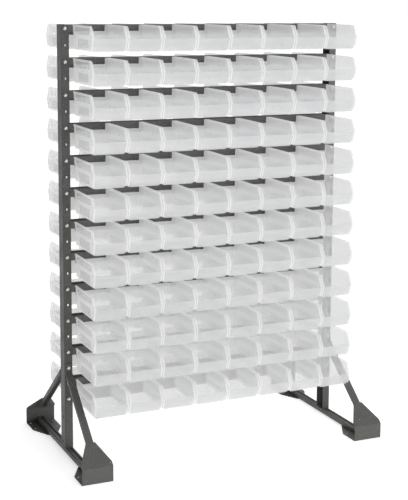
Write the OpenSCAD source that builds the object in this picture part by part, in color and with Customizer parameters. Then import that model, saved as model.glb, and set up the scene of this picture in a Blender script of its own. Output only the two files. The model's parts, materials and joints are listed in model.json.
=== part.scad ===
// Double-sided rail rack for hopper bins.
// Two channel uprights stand on base rails between braced feet, and carry
// rails on both faces. Bins hang on the rails by a hook behind their rear wall.
// Origin: on the floor, in the middle of the rack. +X is to the right of someone
// who faces the front, +Y is to the rear, +Z is up.

/* [Rack] */
// Height of the uprights' top above the floor
rack_h = 1360; // [1345:1:1450]
// Clear width between the two uprights
clear_w = 914.4; // [895:0.1:1000]
// Distance between neighbouring rows of bins
row_pitch = 101.6; // [97:0.1:102.5]
// Drop from the uprights' top to the first row of bolts
top_drop = 12.7; // [9:0.1:18]
// Depth of the rack over its feet
base_depth = 600; // [560:1:680]

/* [Uprights] */
// Width of an upright's front and rear flanges
upright_w = 25.4; // [22:0.1:32]
// Depth of an upright from front to rear
upright_d = 46; // [36:0.1:60]
// Sheet thickness of the uprights
upright_t = 2; // [1.5:0.1:3]
// Inside radius of the uprights' bends
upright_r = 2; // [1:0.1:3]
// Diameter of the bolt holes
hole_d = 7; // [6.6:0.1:8]
// Height of the lower hole in an upright's web, above its foot
web_hole_low = 15; // [10:0.5:30]
// Height of the upper hole in an upright's web, above its foot
web_hole_high = 96; // [60:1:100]
// Diameter of the holes in the webs
web_hole_d = 10; // [6:0.5:12]

/* [Bin rails] */
// Sheet thickness of the rails
rail_t = 1.5; // [1.2:0.1:2]
// Height of a rail above its bolts
rail_above = 12; // [11:0.1:14]
// Height of a rail below its bolts
rail_below = 20; // [18:0.1:24]
// Depth of a rail's top flange, which is bent inwards
rail_flange = 8; // [5:0.1:10]
// Reach of a rail's tray in front of its web
rail_tray = 8; // [7:0.1:12]
// Height of the lip that the bins hang on
rail_lip = 9.7; // [9:0.1:11]
// Height of a rail's end tab below its bolt
tab_below = 11; // [9:0.1:13]
// Inside radius of the rails' bends
rail_r = 0.8; // [0.5:0.1:1.2]
// Gap between a rail's end tab and an upright's web
rail_end_gap = 2.3; // [2:0.1:4]
// Distance from an upright to the end of a rail's tray
tray_end_gap = 14; // [8:0.5:18]

/* [Tie bars] */
// Height of the lower tie bars
tie_h = 24; // [20:1:40]
// Depth of the tie bars' flanges
tie_flange = 8; // [5:0.1:10]

/* [Bins] */
// Clear width between the uprights that stays free beside a row of bins
row_margin = 16; // [12:0.5:30]
// Length of a bin from its rear wall to its lip
bin_l = 187.3; // [180:0.1:200]
// Height of a bin
bin_h = 76.2; // [70:0.1:78]
// Wall thickness of a bin
bin_t = 2; // [1.6:0.1:2.6]
// Gap between neighbouring bins
bin_gap = 3; // [1:0.1:4]
// Distance by which the rear bins hang nearer to the left upright
rear_shift = 9.5; // [0:0.5:10]
// Height of a bin's front lip
lip_h = 39.5; // [34:0.5:42]
// Length of a bin's floor
floor_l = 168; // [160:0.5:172]
// Length of a bin's side walls along their top edge
top_l = 167; // [163:0.5:174]
// Bulge of the front wall, from 0 for a flat wall to 1 for a quarter of an ellipse
nose_bulge = 0.5; // [0.3:0.05:0.9]
// Drop from the side walls' top edge to the rear wall's top edge
rear_drop = 20; // [16:0.5:26]
// Rounding of the side walls' front top corner
corner_r = 9; // [4:0.5:14]
// Overhang of the rims beyond the side walls
rim_w = 1.5; // [1:0.1:3]
// Height of the rims
rim_h = 4.2; // [3:0.1:6]
// Thickness of the raised borders on the side walls
border_t = 1.6; // [1:0.1:2.4]
// Height of the raised borders along the bottom of the side walls
border_h = 8; // [7:0.5:10]
// Width of the raised posts at the front and rear of the side walls
post_w = 11; // [6:0.5:16]
// Height of the rib between the upper and lower side panels
rib_z = 45; // [40:0.5:50]
// Width of the rib between the side panels
rib_h = 3.5; // [2:0.1:6]
// Inward slope of each side wall over the bin's height
draft = 3; // [1:0.1:5]
// Width of the chamfer along a bin's bottom edges
chamfer = 5; // [3:0.1:6]
// Reach of the hook's tip below the rear wall's top edge
hook_drop = 9; // [7:0.1:9.4]
// Width of the hook
hook_w = 80; // [60:1:84]

/* [Base rails] */
// Height of a base rail
base_h = 15; // [12:0.5:25]
// Sheet thickness of the base rails
base_t = 2; // [1.5:0.1:3]
// Width of the stiffening groove along a base rail's top
groove_w = 8; // [6:0.5:10]
// Depth of the stiffening groove
groove_d = 3; // [2.5:0.1:4]

/* [Feet] */
// Width of a foot
foot_w = 98; // [85:1:110]
// Height of a foot's upright end plate
foot_h = 50; // [40:1:60]
// Sheet thickness of the feet
foot_t = 2.5; // [2:0.1:4]
// Length of a foot's sloped plate
slope_l = 88; // [70:1:110]
// Stretch of the sloped plate that keeps the full width
slope_square = 16; // [8:1:30]
// Width of the sloped plate's upper end
apex_w = 30; // [27:0.5:40]
// Length of the base plate
plate_l = 145; // [120:1:170]
// Stretch of the base plate that keeps the full width
plate_square = 78; // [75:1:100]
// Spacing of the anchor holes across a foot
anchor_x = 76; // [60:0.5:84]
// Spacing of the anchor holes along a foot
anchor_y = 57; // [40:0.5:60]
// Distance from a foot's end plate to its first anchor holes
anchor_end = 14; // [12:0.5:17]
// Diameter of the anchor holes
anchor_d = 9; // [7:0.5:11]

/* [Braces] */
// Width of a brace
brace_w = 22; // [18:0.5:24]
// Sheet thickness of the braces
brace_t = 2; // [1.5:0.1:3]
// Depth of a brace's flanges
brace_d = 11; // [8:0.5:16]
// Height of a brace's bolted tab, above and below its bolt
tab_half = 14; // [10:0.5:18]
// Distance from a foot's fold to the brace's lower end
brace_end = 20; // [14:1:40]

/* [Fasteners] */
// Shank diameter of the bolts
bolt_d = 6; // [5:0.1:6.4]
// Head diameter of the bolts
head_d = 12; // [10:0.1:14]
// Head height of the bolts
head_h = 4; // [2.5:0.1:5]
// Width of the nuts across their flats
nut_w = 10; // [9:0.1:11]
// Height of the nuts
nut_h = 5; // [4:0.1:6]
// Length of thread past a nut
bolt_past = 1.5; // [0.5:0.1:3]

/* [Hidden] */
rows = 12;
columns = 8;
running = 0.3;
cut = 1;
bend_steps = 3;
corner_steps = 2;
nose_steps = 3;
brace_step = 21;
$fn = 32;

frame_color = [0.27, 0.27, 0.25];
rail_color = [0.40, 0.40, 0.39];
bolt_color = [0.80, 0.80, 0.78];
bin_color = [0.88, 0.89, 0.90, 0.6];

rack_w = clear_w + 2 * upright_w;
column_x = (clear_w + upright_w) / 2;
tie_l = rack_w - 2 * upright_t - 2 * rail_end_gap;
upright_z = foot_t + base_h;
first_z = rack_h - top_drop;
half_pitch = row_pitch / 2;
flange_y = upright_d / 2;
web_y = flange_y - upright_t;
nut_y = web_y - rail_t;
tie_z = first_z - (2 * rows - 1) * half_pitch;
brace_z = first_z - brace_step * half_pitch;
lip_y = web_y + rail_tray;
lip_top = rail_lip - rail_below;
bin_y = lip_y + running;
rear_h = bin_h - rear_drop;
bin_z = lip_top + bin_t - rear_h;
bin_step = (clear_w - row_margin) / columns;
bin_w = bin_step - bin_gap;
hook_reach = 2 * running + rail_t + bin_t;
fold_y = -base_depth / 2;
bend_y = -flange_y - brace_t;
bend_z = brace_z - tab_half;
fold_to_bend = norm([bend_y - fold_y, bend_z - foot_h]);
slope = atan2(bend_z - foot_h, bend_y - fold_y) + asin(foot_t / fold_to_bend);

function row_z(row) = first_z - (row - 1) * row_pitch;
function bin_x(column) = (column - (columns + 1) / 2) * bin_step;
function two_digits(n) = str(n < 10 ? "0" : "", n);
function row_node(side, row) = str(side, "_bins_row_", two_digits(row));
function top_node(column) = str("front_top_bin_", column);
function rail_node(row) = str("rail_pair_", two_digits(row));

// Outline of a bent sheet. The path is one face of the sheet, which lies to the
// right of the path, t thick, with inside radius r at every bend.
function unit(v) = v / norm(v);
function right_of(d) = [d[1], -d[0]];
function turned(v, a) = [v[0] * cos(a) - v[1] * sin(a), v[0] * sin(a) + v[1] * cos(a)];
function turn_angle(a, b) = atan2(a[0] * b[1] - a[1] * b[0], a * b);
function bend_points(path, i, t, r, other) =
    let (a = unit(path[i] - path[i - 1]))
    let (b = unit(path[i + 1] - path[i]))
    let (angle = turn_angle(a, b))
    let (side = sign(angle))
    let (near = side > 0 ? r : r + t)
    let (far = side > 0 ? r + t : r)
    let (centre = path[i] - a * near * tan(abs(angle) / 2) - right_of(a) * side * near)
    [for (k = [0:bend_steps])
        centre + turned(right_of(a) * side, angle * k / bend_steps) * (other ? far : near)];
function face_points(path, t, r, other) =
    let (n = len(path))
    let (first = right_of(unit(path[1] - path[0])))
    let (last = right_of(unit(path[n - 1] - path[n - 2])))
    [
        path[0] + first * (other ? t : 0),
        if (n > 2) for (i = [1:n - 2]) each bend_points(path, i, t, r, other),
        path[n - 1] + last * (other ? t : 0)
    ];
function reversed(points) = [for (i = [len(points) - 1:-1:0]) points[i]];
function sheet(path, t, r) =
    concat(face_points(path, t, r, false), reversed(face_points(path, t, r, true)));

// Outline of a corner that is rounded with radius r.
function round_corner(before, corner, after, r) =
    let (a = unit(corner - before))
    let (b = unit(after - corner))
    let (angle = turn_angle(a, b))
    let (side = sign(angle))
    let (centre = corner - a * r * tan(abs(angle) / 2) - right_of(a) * side * r)
    [for (k = [0:corner_steps]) centre + turned(right_of(a) * side, angle * k / corner_steps) * r];

// Extrudes a side outline, drawn as [y, z], across the width w.
module across(w) {
    rotate([90, 0, 90])
        linear_extrude(w, center = true)
            children();
}

// Extrudes a front outline, drawn as [x, z], from y = 0 towards the front.
module forward(l) {
    rotate([90, 0, 0])
        linear_extrude(l)
            children();
}

// A round bar along Y, from y0 to y1.
module bar_y(d, y0, y1) {
    translate([0, y0, 0])
        rotate([-90, 0, 0])
            cylinder(d = d, h = y1 - y0);
}

module on_both_faces() {
    children();
    rotate([0, 0, 180])
        children();
}

// Uprights

module upright() {
    outer = -rack_w / 2;
    inner = -clear_w / 2;
    path = [[inner, -flange_y], [outer, -flange_y], [outer, flange_y], [inner, flange_y]];
    difference() {
        translate([0, 0, upright_z])
            linear_extrude(rack_h - upright_z)
                polygon(sheet(path, upright_t, upright_r));
        for (k = [0:2 * rows - 1])
            translate([-column_x, 0, first_z - k * half_pitch])
                bar_y(hole_d, -upright_d, upright_d);
        for (z = [web_hole_low, web_hole_high])
            translate([outer - cut, 0, upright_z + z])
                rotate([0, 90, 0])
                    cylinder(d = web_hole_d, h = upright_t + 2 * cut);
    }
}

module left_upright() {
    color(frame_color)
        upright();
}

module right_upright() {
    color(frame_color)
        mirror([1, 0, 0])
            upright();
}

// Base rails

module base_rail() {
    edge = upright_w / 2;
    groove = groove_w / 2;
    low = base_h - groove_d;
    path = [
        [-edge, 0], [-edge, base_h], [-groove, base_h], [-groove, low],
        [groove, low], [groove, base_h], [edge, base_h], [edge, 0]
    ];
    length = base_depth - 2 * foot_t;
    translate([0, length / 2, foot_t])
        forward(length)
            polygon(sheet(path, base_t, groove_d / 6));
}

module left_base_rail() {
    color(frame_color)
        translate([-column_x, 0, 0])
            base_rail();
}

module right_base_rail() {
    color(frame_color)
        translate([column_x, 0, 0])
            base_rail();
}

// Feet

// What lies outside a slanted edge that runs from a to b, carried past both ends.
module outside_edge(a, b) {
    past = unit(b - a) * 2 * cut;
    polygon([a - past, b + past, [foot_w, (b + past)[1]], [foot_w, (a - past)[1]]]);
}

// Half of what the base plate loses where it narrows to the base rail.
module plate_trim() {
    wide = [foot_w / 2, fold_y + plate_square];
    narrow = [upright_w / 2 + foot_t, fold_y + plate_l];
    translate([0, 0, -cut])
        linear_extrude(foot_t + 2 * cut)
            outside_edge(wide, narrow);
}

// Half of what the sloped plate loses where it narrows to the brace.
module slope_trim() {
    translate([0, fold_y, foot_h])
        rotate([slope, 0, 0])
            linear_extrude(4 * foot_t, center = true)
                outside_edge([foot_w / 2, slope_square], [apex_w / 2, slope_l]);
}

module front_foot() {
    apex = [fold_y + slope_l * cos(slope), foot_h + slope_l * sin(slope)];
    path = [[fold_y + plate_l, 0], [fold_y, 0], [fold_y, foot_h], apex];
    difference() {
        across(foot_w)
            polygon(sheet(path, foot_t, foot_t / 2));
        for (side = [0, 1])
            mirror([side, 0, 0]) {
                plate_trim();
                slope_trim();
            }
        for (x = [-0.5, 0.5], y = [0, 1])
            translate([x * anchor_x, fold_y + anchor_end + y * anchor_y, -cut])
                cylinder(d = anchor_d, h = foot_t + 2 * cut);
    }
}

module left_front_foot() {
    color(frame_color)
        translate([-column_x, 0, 0])
            front_foot();
}

module right_front_foot() {
    color(frame_color)
        translate([column_x, 0, 0])
            front_foot();
}

module left_rear_foot() {
    color(frame_color)
        translate([-column_x, 0, 0])
            rotate([0, 0, 180])
                front_foot();
}

module right_rear_foot() {
    color(frame_color)
        translate([column_x, 0, 0])
            rotate([0, 0, 180])
                front_foot();
}

// Braces

module front_brace() {
    along = [cos(slope), sin(slope)];
    below = right_of(along);
    low = [fold_y, foot_h] + along * brace_end + below * foot_t;
    bend = [bend_y, bend_z];
    top = [bend_y, brace_z + tab_half];
    run = norm(bend - low) - brace_d;
    difference() {
        union() {
            across(brace_w)
                polygon(sheet([low, bend, top], brace_t, brace_t));
            for (side = [-0.5, 0.5])
                translate([side * (brace_w - brace_t), 0, 0])
                    across(brace_t)
                        polygon([
                            low, low + along * run,
                            low + along * (run - brace_d) + below * brace_d, low + below * brace_d
                        ]);
        }
        translate([0, 0, brace_z])
            bar_y(hole_d, bend_y - cut, bend_y + brace_t + cut);
    }
}

module left_front_brace() {
    color(frame_color)
        translate([-column_x, 0, 0])
            front_brace();
}

module right_front_brace() {
    color(frame_color)
        translate([column_x, 0, 0])
            front_brace();
}

module left_rear_brace() {
    color(frame_color)
        translate([-column_x, 0, 0])
            rotate([0, 0, 180])
                front_brace();
}

module right_rear_brace() {
    color(frame_color)
        translate([column_x, 0, 0])
            rotate([0, 0, 180])
                front_brace();
}

// Rails and tie bars

// A pair of bolt holes, one at each end of a rail or tie bar.
module end_holes() {
    for (x = [-column_x, column_x])
        translate([x, 0, 0])
            bar_y(hole_d, -web_y - cut, -nut_y + cut);
}

module front_rail() {
    path = [
        [rail_t - lip_y, lip_top], [rail_t - lip_y, rail_t - rail_below],
        [-web_y, rail_t - rail_below], [-web_y, rail_above], [rail_flange - web_y, rail_above]
    ];
    tab_path = [[-web_y, -tab_below], path[3], path[4]];
    difference() {
        union() {
            across(clear_w - 2 * tray_end_gap)
                polygon(sheet(path, rail_t, rail_r));
            across(tie_l)
                polygon(sheet(tab_path, rail_t, rail_r));
        }
        end_holes();
    }
}

module rail_pair(row) {
    color(rail_color)
        translate([0, 0, row_z(row)])
            on_both_faces()
                front_rail();
}

module front_tie_bar() {
    top = tie_h / 2;
    path = [
        [tie_flange - web_y, -top], [-web_y, -top], [-web_y, top], [tie_flange - web_y, top]
    ];
    difference() {
        across(tie_l)
            polygon(sheet(path, rail_t, rail_r));
        end_holes();
    }
}

module tie_bars() {
    color(frame_color)
        translate([0, 0, tie_z])
            on_both_faces()
                front_tie_bar();
}

// Fasteners

// A round-headed bolt along Y: its head sits outside y = seat, its end is at y = tip.
module bolt(seat, tip) {
    crown = head_d / 4;
    rim = head_h / 2;
    translate([0, seat, 0])
        rotate([90, 0, 0])
            rotate_extrude()
                polygon([
                    [0, seat - tip], [bolt_d / 2, seat - tip], [bolt_d / 2, 0],
                    [head_d / 2, 0], [head_d / 2, rim], [crown, head_h], [0, head_h]
                ]);
}

// A nut along Y on the inner face of the sheet at y = seat.
module nut(seat) {
    translate([0, seat, 0])
        rotate([-90, 0, 0])
            difference() {
                cylinder(d = nut_w / cos(30), h = nut_h, $fn = 6);
                translate([0, 0, -cut])
                    cylinder(d = bolt_d + running, h = nut_h + 2 * cut);
            }
}

// Places its children at every bolt of the rails and tie bars, on both faces.
module at_rail_bolts() {
    on_both_faces()
        for (x = [-column_x, column_x]) {
            for (row = [1:rows])
                translate([x, 0, row_z(row)])
                    children();
            translate([x, 0, tie_z])
                children();
        }
}

module at_brace_bolts() {
    on_both_faces()
        for (x = [-column_x, column_x])
            translate([x, 0, brace_z])
                children();
}

module rail_bolts() {
    color(bolt_color)
        at_rail_bolts()
            bolt(-flange_y, nut_h + bolt_past - nut_y);
}

module rail_nuts() {
    color(bolt_color)
        at_rail_bolts()
            nut(-nut_y);
}

module brace_bolts() {
    color(bolt_color)
        at_brace_bolts()
            bolt(bend_y, nut_h + bolt_past - web_y);
}

module brace_nuts() {
    color(bolt_color)
        at_brace_bolts()
            nut(-web_y);
}

// Bins

// Side outline of a bin. The rear wall is at y = 0 and the lip is at y = -bin_l.
function bin_outline() =
    let (front_top = [-top_l, bin_h])
    let (lip = [-bin_l, lip_h])
    concat(
        [[0, 0], [0, bin_h]],
        round_corner([0, bin_h], front_top, lip, corner_r),
        nose(0)
    );

// The curve under a bin's front lip, from the lip down to the floor, on the face of the
// front wall that lies t behind its outer face.
function nose(t) =
    [for (k = [0:nose_steps])
        let (share = k / nose_steps)
        let (back = nose_bulge * cos(90 * share) + (1 - nose_bulge) * (1 - share))
        let (down = nose_bulge * sin(90 * share) + (1 - nose_bulge) * share)
        [
            t - floor_l - (bin_l - floor_l) * back,
            lip_h - (lip_h - t) * down
        ]];

// Outline of the space inside a bin, open at the top, the front and above the rear wall.
function space_outline() =
    concat(
        [
            [-bin_t, bin_t], [-bin_t, rear_h], [bin_t, rear_h], [bin_t, bin_h + cut],
            [-bin_l - cut, bin_h + cut], [-bin_l - cut, lip_h]
        ],
        nose(bin_t)
    );

// Half the width of a bin's side wall at height z, over its panels.
function panel_x(z) = bin_w / 2 - rim_w - border_t - draft * (1 - z / bin_h);
function border_x(z) = panel_x(z) + border_t;
function inner_x(z) = panel_x(z) - bin_t;

// The points [x, z] of one side of a bin's front outline, from the floor up.
function panel_side() =
    let (rib_low = rib_z - rib_h / 2)
    let (rib_high = rib_z + rib_h / 2)
    let (under_rim = bin_h - rim_h)
    [
        [border_x(0) - chamfer, 0], [border_x(chamfer), chamfer],
        [border_x(border_h), border_h], [panel_x(border_h), border_h], [panel_x(rib_low), rib_low],
        [border_x(rib_low), rib_low], [border_x(rib_high), rib_high],
        [panel_x(rib_high), rib_high], [panel_x(under_rim), under_rim],
        [bin_w / 2, under_rim], [bin_w / 2, bin_h]
    ];
function border_side() =
    let (under_rim = bin_h - rim_h)
    [
        [border_x(0) - chamfer, 0], [border_x(chamfer), chamfer],
        [border_x(under_rim), under_rim], [bin_w / 2, under_rim], [bin_w / 2, bin_h]
    ];
function both_sides(side) = concat(side, reversed([for (p = side) [-p[0], p[1]]]));

module bin_body() {
    intersection() {
        across(bin_w)
            polygon(bin_outline());
        forward(bin_l)
            polygon(both_sides(panel_side()));
    }
}

// The raised posts along a bin's front edges and rear corners.
module bin_posts() {
    front_top = [-top_l, bin_h];
    middle = [-bin_l, rib_z];
    front_low = [-floor_l, 0];
    back = [post_w, 0];
    intersection() {
        across(bin_w)
            intersection() {
                polygon(bin_outline());
                union() {
                    polygon([
                        front_top, middle, front_low,
                        front_low + back, middle + back, front_top + back
                    ]);
                    polygon([[0, 0], [0, bin_h], [-post_w, bin_h], [-post_w, 0]]);
                }
            }
        forward(bin_l)
            polygon(both_sides(border_side()));
    }
}

module bin_space() {
    slant = max(chamfer - border_t - bin_t / 2, cut);
    inside = [
        [inner_x(0) - slant, bin_t], [inner_x(bin_t + slant), bin_t + slant],
        [inner_x(bin_h), bin_h], [inner_x(bin_h), bin_h + 2 * cut]
    ];
    intersection() {
        across(bin_w)
            polygon(space_outline());
        translate([0, 2 * bin_t, 0])
            forward(bin_l + 4 * bin_t)
                polygon(both_sides(inside));
    }
}

// The hook behind the rear wall, which drops over a rail's lip.
module bin_hook() {
    across(hook_w)
        polygon([
            [-bin_t, rear_h], [hook_reach, rear_h],
            [hook_reach, rear_h - hook_drop], [hook_reach - bin_t, rear_h - hook_drop],
            [hook_reach - bin_t, rear_h - bin_t], [-bin_t, rear_h - bin_t]
        ]);
}

module bin() {
    color(bin_color)
        union() {
            difference() {
                union() {
                    bin_body();
                    bin_posts();
                }
                bin_space();
            }
            bin_hook();
        }
}

// Places a bin of the front face.
module front_bin(row, column) {
    translate([bin_x(column), -bin_y, row_z(row) + bin_z])
        bin();
}

module front_row(row) {
    for (column = [1:columns])
        front_bin(row, column);
}

module rear_row(row) {
    translate([-rear_shift, 0, 0])
        rotate([0, 0, 180])
            front_row(row);
}

left_upright();
right_upright();
left_base_rail();
right_base_rail();
left_front_foot();
left_rear_foot();
right_front_foot();
right_rear_foot();
left_front_brace();
left_rear_brace();
right_front_brace();
right_rear_brace();
tie_bars();
rail_bolts();
rail_nuts();
brace_bolts();
brace_nuts();
for (row = [1:rows])
    rail_pair(row);
for (column = [1:columns])
    front_bin(1, column);
for (row = [2:rows])
    front_row(row);
for (row = [1:rows])
    rear_row(row);
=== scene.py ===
"""Studio model of a double-sided rail rack with hanging hopper bins.

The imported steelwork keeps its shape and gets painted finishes. The moulded bins, the
round-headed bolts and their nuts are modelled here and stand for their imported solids.
"""
import json
import logging
import math
import random
from dataclasses import dataclass, field
from enum import Enum
from typing import Callable, Sequence

import bmesh
import bpy
from mathutils import Matrix, Vector


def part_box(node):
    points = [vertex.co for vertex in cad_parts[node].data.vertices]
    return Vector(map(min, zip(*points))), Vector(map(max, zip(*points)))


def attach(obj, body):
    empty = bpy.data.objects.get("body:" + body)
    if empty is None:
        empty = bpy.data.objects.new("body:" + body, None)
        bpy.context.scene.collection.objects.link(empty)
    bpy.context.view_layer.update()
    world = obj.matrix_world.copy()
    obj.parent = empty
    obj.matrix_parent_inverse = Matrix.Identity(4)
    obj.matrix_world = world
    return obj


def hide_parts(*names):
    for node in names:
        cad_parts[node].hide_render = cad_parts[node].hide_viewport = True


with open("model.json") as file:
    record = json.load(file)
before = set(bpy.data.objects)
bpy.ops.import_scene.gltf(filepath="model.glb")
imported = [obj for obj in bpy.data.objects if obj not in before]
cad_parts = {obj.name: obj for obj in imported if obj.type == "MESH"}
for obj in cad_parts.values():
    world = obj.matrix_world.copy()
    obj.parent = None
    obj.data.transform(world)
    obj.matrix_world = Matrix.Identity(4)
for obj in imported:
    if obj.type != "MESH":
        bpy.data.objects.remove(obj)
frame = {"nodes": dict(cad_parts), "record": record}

LOG = logging.getLogger("rack")
Colour = tuple[float, float, float]
Point = tuple[float, float]

# Grey values between which most of a noise pattern lies
NOISE_MIDDLE: Point = (0.3, 0.7)
# Corners this close to a plane lie on it, in metres
ON_PLANE = 1e-5
# Corners this close to each other are one, in metres
SAME_CORNER = 1e-6
# Step that keeps the faces of two solids from falling together, in metres
APART = 0.0001


class Part(Enum):
    """What is picked in edit mode."""

    CORNER = "VERT"
    EDGE = "EDGE"


class Joining(Enum):
    """How two solids are put together."""

    ADD = "UNION"
    CUT = "DIFFERENCE"


class Side(Enum):
    """The face of the rack that a row of bins hangs on, as the sign of its Y."""

    FRONT = -1
    REAR = 1

    @property
    def droop(self) -> Point:
        """Least and greatest tilt of a row, in radians."""
        return (0.002, 0.006) if self is Side.FRONT else (0.0, 0.004)


class Bench:
    """Modelling moves, made with Blender's own operators."""

    @staticmethod
    def take(*objects: bpy.types.Object) -> None:
        """Selects the objects alone and makes the first one active.

        Args:
            objects: What the next operator works on.
        """
        bpy.ops.object.select_all(action="DESELECT")
        for item in objects:
            item.select_set(True)
        bpy.context.view_layer.objects.active = objects[0]

    @staticmethod
    def box(name: str, low: Sequence[float], high: Sequence[float]) -> bpy.types.Object:
        """Adds a box between two corners.

        Args:
            name: The object's name.
            low: Lowest corner, in metres.
            high: Highest corner, in metres.

        Returns:
            The new object, at the origin.
        """
        bpy.ops.object.select_all(action="DESELECT")
        bpy.ops.mesh.primitive_cube_add(size=1.0, location=(0.0, 0.0, 0.0))
        made = bpy.context.active_object
        made.name = name
        made.scale = Vector(high) - Vector(low)
        made.location = (Vector(high) + Vector(low)) / 2
        bpy.ops.object.transform_apply(location=True, rotation=True, scale=True)
        return made

    @staticmethod
    def bar(name: str, sides: int, radius: float, low: float, high: float) -> bpy.types.Object:
        """Adds a bar along Z.

        Args:
            name: The object's name.
            sides: Number of sides of its section.
            radius: Radius over its corners.
            low: Height of its lower end.
            high: Height of its upper end.

        Returns:
            The new object, at the origin.
        """
        bpy.ops.object.select_all(action="DESELECT")
        bpy.ops.mesh.primitive_cylinder_add(
            vertices=sides, radius=radius, depth=high - low, location=(0.0, 0.0, (low + high) / 2))
        made = bpy.context.active_object
        made.name = name
        bpy.ops.object.transform_apply(location=True, rotation=True, scale=True)
        return made

    @staticmethod
    def pick(item: bpy.types.Object, part: Part, test: Callable[[list[Vector]], bool]) -> None:
        """Enters edit mode and selects the corners or edges that pass a test.

        Args:
            item: The object to edit.
            part: What is selected.
            test: Gets the corner points of each candidate.
        """
        Bench.take(item)
        bpy.ops.object.mode_set(mode="EDIT")
        bpy.ops.mesh.select_mode(type=part.value)
        bpy.ops.mesh.select_all(action="DESELECT")
        mesh = bmesh.from_edit_mesh(item.data)
        if part is Part.CORNER:
            for corner in mesh.verts:
                corner.select_set(test([corner.co]))
        else:
            for edge in mesh.edges:
                edge.select_set(test([end.co for end in edge.verts]))
        mesh.select_flush_mode()
        bmesh.update_edit_mesh(item.data)

    @staticmethod
    def leave() -> None:
        """Goes back to object mode."""
        bpy.ops.object.mode_set(mode="OBJECT")

    @staticmethod
    def narrow(item: bpy.types.Object, height: float, share: float) -> None:
        """Narrows what lies at one height, so that the walls get a draft.

        Args:
            item: The object to edit.
            height: Height of the corners that move.
            share: New width as a share of the old one.
        """
        Bench.pick(item, Part.CORNER, lambda ends: abs(ends[0].z - height) < ON_PLANE)
        bpy.ops.transform.resize(value=(share, 1.0, 1.0))
        Bench.leave()

    @staticmethod
    def round_edges(
        item: bpy.types.Object, test: Callable[[list[Vector]], bool], radius: float, steps: int
    ) -> None:
        """Rounds the edges that pass a test.

        Args:
            item: The object to edit.
            test: Gets an edge's two ends.
            radius: Width of the rounding.
            steps: Number of facets in it.
        """
        Bench.pick(item, Part.EDGE, test)
        bpy.ops.mesh.bevel(offset=radius, segments=steps, profile=0.5, affect="EDGES")
        Bench.leave()

    @staticmethod
    def slice(item: bpy.types.Object, point: Sequence[float], outward: Sequence[float]) -> None:
        """Cuts off what lies beyond a plane and closes the cut.

        Args:
            item: The object to edit.
            point: A point of the plane.
            outward: The plane's normal, towards what is cut off.
        """
        Bench.take(item)
        bpy.ops.object.mode_set(mode="EDIT")
        bpy.ops.mesh.select_all(action="SELECT")
        bpy.ops.mesh.bisect(
            plane_co=point, plane_no=outward, use_fill=True, clear_outer=True, threshold=SAME_CORNER)
        bpy.ops.mesh.select_all(action="SELECT")
        bpy.ops.mesh.remove_doubles(threshold=SAME_CORNER)
        bpy.ops.mesh.normals_make_consistent(inside=False)
        Bench.leave()

    @staticmethod
    def copy(item: bpy.types.Object, name: str) -> bpy.types.Object:
        """Copies an object together with its mesh.

        Args:
            item: The object to copy.
            name: The copy's name.

        Returns:
            The copy.
        """
        twin = item.copy()
        twin.data = item.data.copy()
        twin.name = name
        bpy.context.scene.collection.objects.link(twin)
        return twin

    @staticmethod
    def combine(item: bpy.types.Object, other: bpy.types.Object, how: Joining) -> None:
        """Adds another solid to an object, or cuts it out, and deletes the other.

        Args:
            item: The object that is kept.
            other: The solid that is used up.
            how: Whether it is added or cut.
        """
        modifier = item.modifiers.new("combine", "BOOLEAN")
        modifier.operation = how.value
        modifier.solver = "EXACT"
        modifier.object = other
        Bench.take(item)
        bpy.ops.object.modifier_apply(modifier=modifier.name)
        bpy.data.objects.remove(other, do_unlink=True)

    @staticmethod
    def soften(item: bpy.types.Object, width: float, steps: int, angle: float) -> None:
        """Rounds all sharp edges a little and shades the object smooth.

        Args:
            item: The object to finish.
            width: Width of the rounding.
            steps: Number of facets in it.
            angle: Edges sharper than this are rounded, in degrees.
        """
        modifier = item.modifiers.new("soften", "BEVEL")
        modifier.width = width
        modifier.segments = steps
        modifier.limit_method = "ANGLE"
        modifier.angle_limit = math.radians(angle)
        modifier.harden_normals = True
        Bench.take(item)
        bpy.ops.object.shade_smooth_by_angle(angle=math.radians(angle))
        bpy.ops.object.modifier_apply(modifier=modifier.name)

    @staticmethod
    def settle(item: bpy.types.Object) -> None:
        """Puts an object's place and turn into its mesh."""
        Bench.take(item)
        bpy.ops.object.transform_apply(location=True, rotation=True, scale=True)

    @staticmethod
    def join(name: str, items: Sequence[bpy.types.Object]) -> bpy.types.Object:
        """Joins objects into one.

        Args:
            name: The joined object's name.
            items: What is joined.

        Returns:
            The joined object.
        """
        Bench.take(*items)
        if len(items) > 1:
            bpy.ops.object.join()
        made = bpy.context.view_layer.objects.active
        made.name = name
        made.data.name = name
        return made


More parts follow.
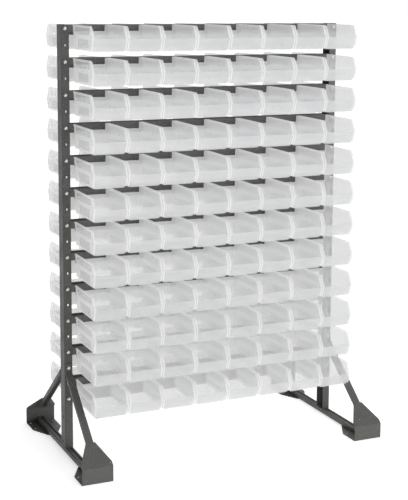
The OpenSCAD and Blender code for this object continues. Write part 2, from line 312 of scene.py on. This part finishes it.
class Graph:
    """A material's nodes, with short ways to add and link them."""

    def __init__(self, name: str) -> None:
        """Starts a material with one Principled shader.

        Args:
            name: The material's name.
        """
        self.material = bpy.data.materials.new(name)
        self.material.use_nodes = True
        self.tree = self.material.node_tree
        self.shader = self.tree.nodes["Principled BSDF"]
        self.place = self.tree.nodes.new("ShaderNodeTexCoord").outputs["Object"]

    def set(self, **values: float | tuple) -> None:
        """Sets plain values on the shader's sockets, with _ for a space in a name."""
        for name, value in values.items():
            self.shader.inputs[name.replace("_", " ")].default_value = value

    def noise(
        self, scale: float, detail: float = 2.0, stretch: Sequence[float] = (1, 1, 1)
    ) -> bpy.types.NodeSocket:
        """Adds a noise pattern on the piece's own coordinates.

        Args:
            scale: Grains per metre.
            detail: Number of finer octaves.
            stretch: How much denser the pattern is along each axis.

        Returns:
            The pattern's grey value.
        """
        mapping = self.tree.nodes.new("ShaderNodeMapping")
        mapping.inputs["Scale"].default_value = stretch
        self.tree.links.new(self.place, mapping.inputs["Vector"])
        node = self.tree.nodes.new("ShaderNodeTexNoise")
        node.inputs["Scale"].default_value = scale
        node.inputs["Detail"].default_value = detail
        self.tree.links.new(mapping.outputs["Vector"], node.inputs["Vector"])
        return node.outputs["Fac"]

    def spread(self, grey: bpy.types.NodeSocket, old: Point, new: Point) -> bpy.types.NodeSocket:
        """Carries a grey value from one range over to another.

        Args:
            grey: The value.
            old: Its least and greatest value.
            new: What these become.

        Returns:
            The new value.
        """
        node = self.tree.nodes.new("ShaderNodeMapRange")
        names = ("From Min", "From Max", "To Min", "To Max")
        for name, value in zip(names, (*old, *new)):
            node.inputs[name].default_value = value
        self.tree.links.new(grey, node.inputs["Value"])
        return node.outputs["Result"]

    def ramp(self, grey: bpy.types.NodeSocket, low: float, high: float) -> bpy.types.NodeSocket:
        """Stretches a grey value between two limits to 0 and 1.

        Args:
            grey: The value to stretch.
            low: What becomes 0.
            high: What becomes 1.

        Returns:
            The stretched value.
        """
        return self.spread(grey, (low, high), (0.0, 1.0))

    def span(self, grey: bpy.types.NodeSocket, low: float, high: float) -> bpy.types.NodeSocket:
        """Turns the middle of a noise pattern into a value between two limits.

        Args:
            grey: The pattern.
            low: Least result.
            high: Greatest result.

        Returns:
            The result.
        """
        return self.spread(grey, NOISE_MIDDLE, (low, high))

    def mix(
        self, share: bpy.types.NodeSocket, first: Colour | bpy.types.NodeSocket, second: Colour
    ) -> bpy.types.NodeSocket:
        """Mixes two colours.

        Args:
            share: Share of the second colour.
            first: A colour, or a socket that gives one.
            second: A colour.

        Returns:
            The mixed colour.
        """
        node = self.tree.nodes.new("ShaderNodeMix")
        node.data_type = "RGBA"
        a, b = (s for s in node.inputs if s.type == "RGBA")
        if isinstance(first, tuple):
            a.default_value = (*first, 1.0)
        else:
            self.tree.links.new(first, a)
        b.default_value = (*second, 1.0)
        self.tree.links.new(share, node.inputs["Factor"])
        return next(s for s in node.outputs if s.type == "RGBA")

    def feed(self, name: str, value: bpy.types.NodeSocket) -> None:
        """Links a value to one of the shader's sockets."""
        self.tree.links.new(value, self.shader.inputs[name])

    def bump(self, grey: bpy.types.NodeSocket, strength: float, height: float) -> None:
        """Makes a pattern stand out of the surface.

        Args:
            grey: The pattern.
            strength: Share of the effect.
            height: Height of the pattern, in metres.
        """
        node = self.tree.nodes.new("ShaderNodeBump")
        node.inputs["Strength"].default_value = strength
        node.inputs["Distance"].default_value = height
        self.tree.links.new(grey, node.inputs["Height"])
        self.feed("Normal", node.outputs["Normal"])


@dataclass(frozen=True)
class PaintFinish:
    """Flecked powder coat with a fine grain, faint stains and a few chips."""

    name: str
    tone: Colour
    stain: Colour
    fleck: Colour
    chip: Colour
    roughness: Point = (0.40, 0.56)

    def build(self) -> bpy.types.Material:
        """Makes the material."""
        graph = Graph(self.name)
        graph.set(Specular_IOR_Level=0.3)
        stain = graph.ramp(graph.noise(7.0, 4.0), 0.42, 0.68)
        colour = graph.mix(stain, self.tone, self.stain)
        colour = graph.mix(graph.span(graph.noise(210.0, 1.0), 0.0, 0.6), colour, self.fleck)
        chips = graph.ramp(graph.noise(95.0, 1.0), 0.775, 0.79)
        graph.feed("Base Color", graph.mix(chips, colour, self.chip))
        graph.feed("Roughness", graph.span(graph.noise(24.0, 3.0), *self.roughness))
        graph.bump(graph.noise(900.0, 2.0), 0.12, 0.0003)
        return graph.material


@dataclass(frozen=True)
class ZincFinish:
    """Bright zinc plate with cloudy patches."""

    name: str
    tone: Colour
    cloud: Colour

    def build(self) -> bpy.types.Material:
        """Makes the material."""
        graph = Graph(self.name)
        graph.set(Metallic=1.0)
        clouds = graph.span(graph.noise(260.0, 3.0), 0.0, 1.0)
        graph.feed("Base Color", graph.mix(clouds, self.tone, self.cloud))
        graph.feed("Roughness", graph.span(graph.noise(420.0, 2.0), 0.22, 0.40))
        graph.bump(graph.noise(1500.0, 1.0), 0.10, 0.0002)
        return graph.material


@dataclass(frozen=True)
class MilkyPlastic:
    """Half-clear moulded plastic with flow marks, a soft gloss and a painted glow: white emission that
    stands in for light passing through the walls.
    """

    name: str
    tone: Colour
    flow: Colour
    opacity: float
    # strength of the painted glow, white emission standing in for light through the walls
    glow: float

    def build(self) -> bpy.types.Material:
        """Makes the material."""
        graph = Graph(self.name)
        graph.set(IOR=1.49, Alpha=self.opacity)
        # painted light: white emission makes the plastic glow as if lit through its walls
        graph.set(Emission_Color=(1.0, 1.0, 1.0, 1.0), Emission_Strength=self.glow)
        streaks = graph.span(graph.noise(9.0, 3.0, (1.0, 0.35, 1.6)), 0.0, 1.0)
        graph.feed("Base Color", graph.mix(streaks, self.tone, self.flow))
        graph.feed("Roughness", graph.span(graph.noise(60.0, 2.0), 0.26, 0.42))
        graph.bump(graph.noise(420.0, 2.0), 0.08, 0.0003)
        return graph.material


@dataclass(frozen=True)
class PaleFloor:
    """Matt studio floor, lit from below like a light table."""

    name: str
    tone: Colour
    glow: float

    def build(self) -> bpy.types.Material:
        """Makes the material."""
        graph = Graph(self.name)
        graph.set(Base_Color=(*self.tone, 1.0))
        graph.set(Emission_Color=(1.0, 1.0, 1.0, 1.0), Emission_Strength=self.glow)
        graph.feed("Roughness", graph.span(graph.noise(3.0, 2.0), 0.70, 0.85))
        return graph.material


FRAME_PAINT = PaintFinish(
    "frame_paint", (0.084, 0.084, 0.078), (0.064, 0.064, 0.059), (0.132, 0.132, 0.124), (0.42, 0.41, 0.39))
# the rails get a lighter copy of the frame's paint: painted light standing in for light reaching them
# through the bins
RAIL_PAINT_LIT = PaintFinish(
    "rail_paint", (0.118, 0.118, 0.112), (0.092, 0.092, 0.087), (0.172, 0.172, 0.164), (0.40, 0.39, 0.37))
BOLT_ZINC = ZincFinish("bolt_zinc", (0.74, 0.74, 0.71), (0.56, 0.56, 0.54))
# the last number of each bin plastic is its painted glow
BIN_PLASTIC = MilkyPlastic("bin_plastic", (0.60, 0.603, 0.608), (0.555, 0.559, 0.566), 0.52, 0.27)
# sunk panels: thinner wall, so more see-through, plus a darker tone and weaker glow as painted shade in the
# recesses
BIN_PANEL_SHADED = MilkyPlastic("bin_panel_shaded", (0.45, 0.453, 0.459), (0.405, 0.409, 0.416), 0.40, 0.15)
# front wall: a darker, less glowing, more see-through copy of the plastic, painted shade on the front face
BIN_FRONT_SHADED = MilkyPlastic("bin_front_shaded", (0.50, 0.503, 0.508), (0.455, 0.459, 0.465), 0.46, 0.18)
STUDIO_FLOOR = PaleFloor("studio_floor", (0.86, 0.86, 0.86), 0.60)


def dress(item: bpy.types.Object, material: bpy.types.Material) -> None:
    """Gives an object one material on all its faces.

    Args:
        item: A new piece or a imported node.
        material: The finish.
    """
    if not item.material_slots:
        item.data.materials.append(material)
    for place in item.material_slots:
        place.material = material


@dataclass
class HopperBin:
    """One moulded bin: drafted and panelled sides, rims, a rounded nose and a rear hook.

    Its rear wall is at y = 0, its lip at y = -length and its floor at z = 0.
    """

    width: float
    length: float
    height: float
    wall: float = 0.0020
    lip: float = 0.0395
    floor_length: float = 0.1680
    top_length: float = 0.1670
    bulge: float = 0.5
    rear_drop: float = 0.0200
    corner: float = 0.0075
    rim: float = 0.0015
    rim_height: float = 0.0042
    flange: float = 0.0042
    border: float = 0.0016
    draft: float = 0.0030
    edge: float = 0.0055
    hook_width: float = 0.0800
    hook_drop: float = 0.0090
    hook_reach: float = 0.0041
    nose_steps: int = 6
    panel_corner: float = 0.0045
    upper_panel: Point = (0.0120, 0.1540)
    lower_panel: Point = (0.0340, 0.1380)
    upper_low: float = 0.0490
    under_rim: float = 0.0015
    lower_heights: Point = (0.0090, 0.0355)

    def border_x(self, z: float) -> float:
        """Half the width over the raised borders at one height."""
        return self.width / 2 - self.rim - self.draft * (1 - z / self.height)

    def inner_x(self, z: float) -> float:
        """Half the inside width at one height."""
        return self.border_x(z) - self.border - self.wall

    @property
    def rear_height(self) -> float:
        """Height of the rear wall."""
        return self.height - self.rear_drop

    def nose(self, inset: float) -> list[Point]:
        """The curve under the lip, as points (y, z) from the lip down to the floor.

        Args:
            inset: Distance of the curve from the outer face.

        Returns:
            The points.
        """
        points = []
        for k in range(self.nose_steps + 1):
            share = k / self.nose_steps
            angle = math.pi / 2 * share
            back = self.bulge * math.cos(angle) + (1 - self.bulge) * (1 - share)
            down = self.bulge * math.sin(angle) + (1 - self.bulge) * share
            points.append((
                inset - self.floor_length - (self.length - self.floor_length) * back,
                self.lip - (self.lip - inset) * down))
        return points

    def cut_nose(self, item: bpy.types.Object, inset: float) -> None:
        """Rounds the lower front of a block along the nose.

        Args:
            item: The block.
            inset: Distance from the outer face.
        """
        points = self.nose(inset)
        for (y0, z0), (y1, z1) in zip(points, points[1:]):
            Bench.slice(item, (0.0, y0, z0), (0.0, z1 - z0, y0 - y1))

    def bottom_edge(self, z: float) -> Callable[[list[Vector]], bool]:
        """A test for the two long edges at one height."""
        def test(ends: list[Vector]) -> bool:
            """True for an edge along Y at that height."""
            level = all(abs(end.z - z) < ON_PLANE for end in ends)
            return level and abs(ends[0].y - ends[1].y) > 0.05
        return test

    def block(self) -> bpy.types.Object:
        """The bin's outer form, still solid."""
        half = self.border_x(self.height)
        block = Bench.box("hopper_bin", (-half, -self.length, 0.0), (half, 0.0, self.height))
        Bench.narrow(block, 0.0, self.border_x(0.0) / half)
        Bench.round_edges(block, self.bottom_edge(0.0), self.edge, 3)
        self.cut_front(block)
        return block

    def cut_front(self, block: bpy.types.Object) -> None:
        """Gives a block the side outline of the bin's front.

        Args:
            block: A block of the bin's length and height.
        """
        self.cut_nose(block, 0.0)
        rise, run = self.height - self.lip, self.length - self.top_length
        Bench.slice(block, (0.0, -self.length, self.lip), (0.0, -rise, run))
        Bench.round_edges(
            block,
            lambda ends: all(
                end.z > self.height - ON_PLANE and end.y < -self.top_length + APART for end in ends),
            self.corner, 4)

    def hollow(self, block: bpy.types.Object) -> None:
        """Opens a block at the top, above the lip and above the rear wall.

        Args:
            block: The solid outer form.
        """
        past = 0.02
        top = self.height + past
        half = self.inner_x(top)
        core = Bench.box("core", (-half, -self.length - past, self.wall), (half, past, top))
        Bench.narrow(core, self.wall, self.inner_x(self.wall) / half)
        Bench.round_edges(core, self.bottom_edge(self.wall), self.edge, 3)
        well, mouth = Bench.copy(core, "well"), Bench.copy(core, "mouth")
        Bench.slice(well, (0.0, 0.0, self.lip + 0.001), (0.0, 0.0, 1.0))
        Bench.slice(well, (0.0, -self.wall, 0.0), (0.0, 1.0, 0.0))
        self.cut_nose(well, self.wall)
        Bench.slice(mouth, (0.0, 0.0, self.lip - 0.0004), (0.0, 0.0, -1.0))
        Bench.slice(mouth, (0.0, -self.wall - APART, 0.0), (0.0, 1.0, 0.0))
        mouth.scale = (1.001, 1.0, 1.0)
        Bench.settle(mouth)
        Bench.slice(core, (0.0, 0.0, self.rear_height), (0.0, 0.0, -1.0))
        Bench.slice(core, (0.0, -2 * self.wall, 0.0), (0.0, -1.0, 0.0))
        core.scale = (0.998, 1.0, 1.0)
        Bench.settle(core)
        for cutter in (well, mouth, core):
            Bench.combine(block, cutter, Joining.CUT)

    def panel(self, side: int, back: float, front: float, low: float, high: float) -> bpy.types.Object:
        """A cutter that sinks one panel into a side wall.

        Args:
            side: 1 for the right wall, -1 for the left.
            back: Distance of the panel's rear edge from the rear wall.
            front: Distance of its front edge.
            low: Height of its lower edge.
            high: Height of its upper edge.

        Returns:
            The cutter.
        """
        cutter = Bench.box("panel", (-self.border, -front, low), (0.01, -back, high))
        Bench.round_edges(cutter, lambda ends: abs(ends[0].x - ends[1].x) > 0.005, self.panel_corner, 3)
        if side < 0:
            cutter.rotation_euler = (0.0, 0.0, math.pi)
            Bench.settle(cutter)
            cutter.location = (0.0, -back - front, 0.0)
            Bench.settle(cutter)
        cutter.rotation_euler = (0.0, side * math.atan(self.draft / self.height), 0.0)
        cutter.location = (side * self.border_x(0.0), 0.0, 0.0)
        Bench.settle(cutter)
        return cutter

    def sink_panels(self, block: bpy.types.Object) -> None:
        """Sinks an upper and a lower panel into each side wall.

        Args:
            block: The hollow bin.
        """
        upper = (*self.upper_panel, self.upper_low, self.height - self.rim_height - self.under_rim)
        lower = (*self.lower_panel, *self.lower_heights)
        for side in (-1, 1):
            for place in (upper, lower):
                Bench.combine(block, self.panel(side, *place), Joining.CUT)

    def add_rims(self, block: bpy.types.Object) -> None:
        """Adds the rims along the side walls' top edges.

        Args:
            block: The hollow bin.
        """
        for side in (-1, 1):
            ends = sorted((side * (self.border_x(self.height) - 0.001), side * self.width / 2))
            rim = Bench.box(
                "rim", (ends[0], -self.top_length + self.corner, self.height - self.rim_height),
                (ends[1], -APART, self.height - APART))
            Bench.combine(block, rim, Joining.ADD)

    def add_flanges(self, block: bpy.types.Object) -> None:
        """Adds the flanges along the side walls' front edges, as wide as the rims.

        Args:
            block: The hollow bin.
        """
        half, past = self.width / 2, 0.01
        flanges = Bench.box("flanges", (-half, -self.length, 0.0), (half, 0.0, self.height))
        self.cut_front(flanges)
        behind = Bench.copy(flanges, "behind")
        behind.location = (0.0, self.flange, 2 * APART)
        behind.scale = (1.1, 1.0, 1.0)
        Bench.settle(behind)
        Bench.combine(flanges, behind, Joining.CUT)
        middle = self.border_x(0.0) - 0.001
        between = Bench.box(
            "between", (-middle, -self.length - past, -past), (middle, past, self.height + past))
        Bench.combine(flanges, between, Joining.CUT)
        Bench.slice(flanges, (0.0, 0.0, self.edge), (0.0, 0.0, -1.0))
        flanges.location = (0.0, APART, -APART)
        Bench.settle(flanges)
        Bench.combine(block, flanges, Joining.ADD)

    def add_hook(self, block: bpy.types.Object) -> None:
        """Adds the hook behind the rear wall.

        Args:
            block: The hollow bin.
        """
        half, top = self.hook_width / 2, self.rear_height
        hook = Bench.box("hook", (-half, -self.wall / 2, top - self.hook_drop), (half, self.hook_reach, top))
        slot = Bench.box(
            "slot", (-half - 0.01, -0.01, top - self.hook_drop - 0.01),
            (half + 0.01, self.hook_reach - self.wall, top - self.wall))
        Bench.combine(hook, slot, Joining.CUT)
        Bench.combine(block, hook, Joining.ADD)

    def build(self) -> bpy.types.Object:
        """Models the bin once, at the origin.

        Returns:
            The finished bin, to be copied.
        """
        block = self.block()
        self.hollow(block)
        self.sink_panels(block)
        self.add_rims(block)
        self.add_flanges(block)
        self.add_hook(block)
        Bench.soften(block, 0.0005, 2, 35.0)
        self.mark_panels(block)
        return block

    def mark_panels(self, block: bpy.types.Object) -> None:
        """Gives the sunk panels a darker, more see-through plastic (thinner wall plus painted shade) and the
        front wall a darker one (painted shade).

        Args:
            block: The finished bin.
        """
        for finish in (BIN_PLASTIC, BIN_PANEL_SHADED, BIN_FRONT_SHADED):
            block.data.materials.append(finish.build())
        for face in block.data.polygons:
            sunk = self.border_x(face.center.z) - abs(face.center.x)
            # sunk panel faces take the darker panel plastic: thinner wall plus painted shade
            if abs(face.normal.x) > 0.98 and self.border / 2 < sunk < self.border + self.wall / 2:
                face.material_index = 1
            # front wall faces take the darker front plastic: painted shade
            ahead = face.center.y < self.wall - self.floor_length and abs(face.normal.y) > 0.3
            between = abs(face.center.x) < self.inner_x(0.0) - 2 * self.wall
            if ahead and between and face.center.z < self.lip - self.wall:
                face.material_index = 2


@dataclass
class BinRow:
    """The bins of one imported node, hung side by side on a rail."""

    node: str
    side: Side
    master: HopperBin
    pattern: bpy.types.Object
    looseness: float = 0.003

    def places(self) -> list[Vector]:
        """Where each bin's origin goes.

        Returns:
            One point for each bin.
        """
        low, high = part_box(self.node)
        count = max(1, round((high.x - low.x) / self.master.width))
        step = (high.x - low.x - self.master.width) / max(1, count - 1)
        reach = self.master.hook_reach
        rear = high.y - reach if self.side is Side.FRONT else low.y + reach
        first = low.x + self.master.width / 2
        return [Vector((first + k * step, rear, low.z)) for k in range(count)]

    def build(self, body: str) -> bpy.types.Object:
        """Hangs copies of the bin and joins them.

        Args:
            body: The body that the bins move with.

        Returns:
            The row, as one piece.
        """
        chance = random.Random(self.node)
        droop = chance.uniform(*self.side.droop)
        copies = []
        for k, place in enumerate(self.places()):
            copy = Bench.copy(self.pattern, f"{self.node}_{k}")
            turn = Matrix.Rotation(math.pi if self.side is Side.REAR else 0.0, 4, "Z")
            lean = Matrix.Rotation(droop + chance.uniform(0.0, self.looseness), 4, "X")
            pivot = Matrix.Translation((0.0, 0.0, self.master.rear_height))
            copy.matrix_world = Matrix.Translation(place) @ turn @ pivot @ lean @ pivot.inverted()
            Bench.settle(copy)
            copies.append(copy)
        row = Bench.join(f"{self.node}_moulded", copies)
        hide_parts(self.node)
        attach(row, body)
        return row


@dataclass
class Fastening:
    """The bolts and nuts that hold rails, tie bars and braces to the uprights."""

    head_radius: float = 0.0060
    head_height: float = 0.0040
    shank_radius: float = 0.0030
    nut_width: float = 0.0100
    nut_height: float = 0.0050
    past_nut: float = 0.0015
    head_round: float = 0.0034
    tip_round: float = 0.0006
    sheet: float = 0.0020
    rail_sheet: float = 0.0015
    rail_above: float = 0.0120

    def bolt(self, grip: float) -> bpy.types.Object:
        """A round-headed bolt along Z, with its head's seat at z = 0.

        Args:
            grip: Thickness that it clamps, without the nut.

        Returns:
            The bolt.
        """
        head = Bench.bar("head", 20, self.head_radius, 0.0, self.head_height)
        Bench.round_edges(
            head, lambda ends: all(end.z > self.head_height - ON_PLANE for end in ends), self.head_round, 5)
        nut_end = -grip - self.nut_height
        shank = Bench.bar("shank", 12, self.shank_radius, nut_end - self.past_nut, 4 * APART)
        Bench.round_edges(shank, lambda ends: all(end.z < nut_end for end in ends), self.tip_round, 1)
        bolt = Bench.join("bolt", [head, shank])
        bpy.ops.object.shade_smooth_by_angle(angle=math.radians(40.0))
        return bolt

    def nut(self) -> bpy.types.Object:
        """A chamfered hexagon nut along Z, from z = 0 downwards.

        Returns:
            The nut.
        """
        nut = Bench.bar("nut", 6, self.nut_width / 2 / math.cos(math.pi / 6), -self.nut_height, 0.0)
        bore = Bench.bar("bore", 12, self.shank_radius + 0.00015, -0.01, 0.01)
        Bench.combine(nut, bore, Joining.CUT)
        Bench.soften(nut, 0.0005, 1, 50.0)
        return nut

    def spots(self, heights: Sequence[float], seat: float) -> list[Matrix]:
        """Places on both faces of both uprights, with Z pointing out of the face.

        Args:
            heights: Heights of the fasteners.
            seat: Distance of their seat from the rack's middle plane.

        Returns:
            One matrix for each fastener.
        """
        found = []
        for upright in ("left_upright", "right_upright"):
            low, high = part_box(upright)
            for side in Side:
                turn = Matrix.Rotation(-side.value * math.pi / 2, 4, "X")
                for z in heights:
                    point = Vector(((low.x + high.x) / 2, side.value * seat, z))
                    found.append(Matrix.Translation(point) @ turn)
        return found

    def lay(
        self, node: str, pattern: bpy.types.Object, spots: Sequence[Matrix], material: bpy.types.Material
    ) -> bpy.types.Object:
        """Copies a fastener to its spots.

        Args:
            node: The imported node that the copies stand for.
            pattern: The fastener, which is used up.
            spots: Where the copies go.
            material: Their finish.

        Returns:
            The fasteners, as one piece.
        """
        copies = []
        for k, spot in enumerate(spots):
            copy = Bench.copy(pattern, f"{node}_{k}")
            copy.matrix_world = spot
            Bench.settle(copy)
            copies.append(copy)
        bpy.data.objects.remove(pattern, do_unlink=True)
        piece = Bench.join(f"{node}_turned", copies)
        dress(piece, material)
        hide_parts(node)
        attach(piece, "frame")
        return piece

    def build(self, rails: Sequence[str], material: bpy.types.Material) -> list[bpy.types.Object]:
        """Makes all bolts and nuts.

        Args:
            rails: The rails' nodes.
            material: The fasteners' finish.

        Returns:
            The pieces.
        """
        heights = [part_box(rail)[1].z - self.rail_above for rail in rails]
        low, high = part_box("tie_bars")
        heights.append((low.z + high.z) / 2)
        low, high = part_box("brace_bolts")
        brace_heights = [(low.z + high.z) / 2]
        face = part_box("left_upright")[1].y
        rail_grip, brace_grip = self.sheet + self.rail_sheet, 2 * self.sheet
        brace_seats = self.spots(brace_heights, face + self.sheet)
        return [
            self.lay("rail_bolts", self.bolt(rail_grip), self.spots(heights, face), material),
            self.lay("rail_nuts", self.nut(), self.spots(heights, face - rail_grip), material),
            self.lay("brace_bolts", self.bolt(brace_grip), brace_seats, material),
            self.lay("brace_nuts", self.nut(), self.spots(brace_heights, face - self.sheet), material),
        ]


@dataclass
class Studio:
    """Pale floor, soft lights and the camera."""

    eye: tuple[float, float, float] = (-1.6132, -3.6104, 1.4400)
    yaw: float = 0.4218
    pitch: float = -0.1395
    roll: float = 0.0049
    focal_px: float = 1221.71
    frame_px: float = 500.0
    drop_px: float = 80.0
    floor_size: float = 160.0
    daylight: float = 1.0
    left_light: float = 0.03
    dusk: Point = (-0.35, 0.22)

    def floor(self) -> bpy.types.Object:
        """Lays the floor.

        Returns:
            The floor.
        """
        bpy.ops.object.select_all(action="DESELECT")
        bpy.ops.mesh.primitive_plane_add(size=self.floor_size, location=(0.0, 0.0, -0.0005))
        floor = bpy.context.active_object
        floor.name = "studio_floor"
        Bench.settle(floor)
        dress(floor, STUDIO_FLOOR.build())
        return floor

    def lamp(
        self, name: str, power: float, size: float, place: Sequence[float], target: Sequence[float]
    ) -> None:
        """Adds a soft square lamp.

        Args:
            name: Its name.
            power: Its power in watts.
            size: Length of its sides.
            place: Where it hangs.
            target: The point that it lights.
        """
        data = bpy.data.lights.new(name, "AREA")
        data.energy, data.size = power, size
        lamp = bpy.data.objects.new(name, data)
        bpy.context.scene.collection.objects.link(lamp)
        lamp.location = place
        lamp.rotation_euler = (Vector(target) - Vector(place)).to_track_quat("-Z", "Y").to_euler()

    def lights(self) -> None:
        """Sets the room's light and the lamps."""
        world = bpy.data.worlds.new("studio_light")
        world.use_nodes = True
        nodes, links = world.node_tree.nodes, world.node_tree.links
        room = nodes["Background"]
        room.inputs["Color"].default_value = (1.0, 1.0, 1.0, 1.0)
        split = nodes.new("ShaderNodeSeparateXYZ")
        links.new(nodes.new("ShaderNodeTexCoord").outputs["Generated"], split.inputs["Vector"])
        fall = nodes.new("ShaderNodeMapRange")
        fall.interpolation_type = "SMOOTHSTEP"
        names = ("From Min", "From Max", "To Min", "To Max")
        for name, value in zip(names, (*self.dusk, self.left_light, self.daylight)):
            fall.inputs[name].default_value = value
        links.new(split.outputs["X"], fall.inputs["Value"])
        links.new(fall.outputs["Result"], room.inputs["Strength"])
        bpy.context.scene.world = world
        middle = (0.0, 0.0, 0.7)
        self.lamp("front_lamp", 46.0, 2.6, (1.2, -4.2, 1.2), middle)
        self.lamp("top_lamp", 20.0, 2.6, (0.0, -0.8, 3.6), middle)

    def camera(self) -> bpy.types.Object:
        """Sets up the camera at the photograph's place.

        Returns:
            The camera.
        """
        ahead = Vector((
            math.sin(self.yaw) * math.cos(self.pitch),
            math.cos(self.yaw) * math.cos(self.pitch),
            math.sin(self.pitch)))
        right = Vector((math.cos(self.yaw), -math.sin(self.yaw), 0.0))
        up = right.cross(ahead)
        level_right, level_up = right.copy(), up.copy()
        right = level_right * math.cos(self.roll) + level_up * math.sin(self.roll)
        up = level_up * math.cos(self.roll) - level_right * math.sin(self.roll)
        data = bpy.data.cameras.new("photo_camera")
        data.sensor_width = 36.0
        data.lens = self.focal_px * data.sensor_width / self.frame_px
        data.shift_y = -self.drop_px / self.frame_px
        camera = bpy.data.objects.new("photo_camera", data)
        bpy.context.scene.collection.objects.link(camera)
        turn = Matrix((right, up, -ahead)).transposed().to_4x4()
        camera.matrix_world = Matrix.Translation(self.eye) @ turn
        bpy.context.scene.camera = camera
        return camera

    def build(self) -> None:
        """Sets up the whole studio."""
        self.floor()
        self.lights()
        self.camera()
        bpy.context.scene.view_settings.view_transform = "Standard"


@dataclass
class Rack:
    """The dressed rack."""

    bodies: dict[str, list[str]]
    pieces: list[bpy.types.Object] = field(default_factory=list)

    def nodes(self, start: str) -> list[str]:
        """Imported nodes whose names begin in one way, in order."""
        return sorted(name for name in frame["nodes"] if name.startswith(start))

    def body_of(self, node: str) -> str:
        """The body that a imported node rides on."""
        return next(body for body, members in self.bodies.items() if node in members)

    def paint(self) -> None:
        """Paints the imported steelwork."""
        frame_paint, rail_paint = FRAME_PAINT.build(), RAIL_PAINT_LIT.build()
        for name in self.bodies["frame"]:
            item = frame["nodes"][name]
            # rails take the lighter paint, painted light
            dress(item, rail_paint if name.startswith("rail_pair") else frame_paint)
            LOG.info("painted %s", name)

    def hang_bins(self) -> None:
        """Models the bin and hangs it on every rail."""
        low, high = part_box("front_top_bin_1")
        size = high - low
        master = HopperBin(width=size.x, length=size.y - HopperBin.hook_reach, height=size.z)
        pattern = master.build()
        groups = (
            (Side.FRONT, "front_top_bin"), (Side.FRONT, "front_bins_row"), (Side.REAR, "rear_bins_row"))
        for side, start in groups:
            for node in self.nodes(start):
                self.pieces.append(BinRow(node, side, master, pattern).build(self.body_of(node)))
        bpy.data.objects.remove(pattern, do_unlink=True)

    def build(self) -> None:
        """Dresses the whole rack and reports its new pieces."""
        self.paint()
        self.hang_bins()
        self.pieces += Fastening().build(self.nodes("rail_pair"), BOLT_ZINC.build())
        for piece in self.pieces:
            LOG.info("made %s with %d faces", piece.name, len(piece.data.polygons))


def main() -> None:
    """Builds the studio and the rack."""
    logging.basicConfig(level=logging.INFO, format="%(name)s: %(message)s")
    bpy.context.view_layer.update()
    Studio().build()
    Rack(frame["record"]["behaviour"]["bodies"]).build()


if __name__ == "__main__":
    main()
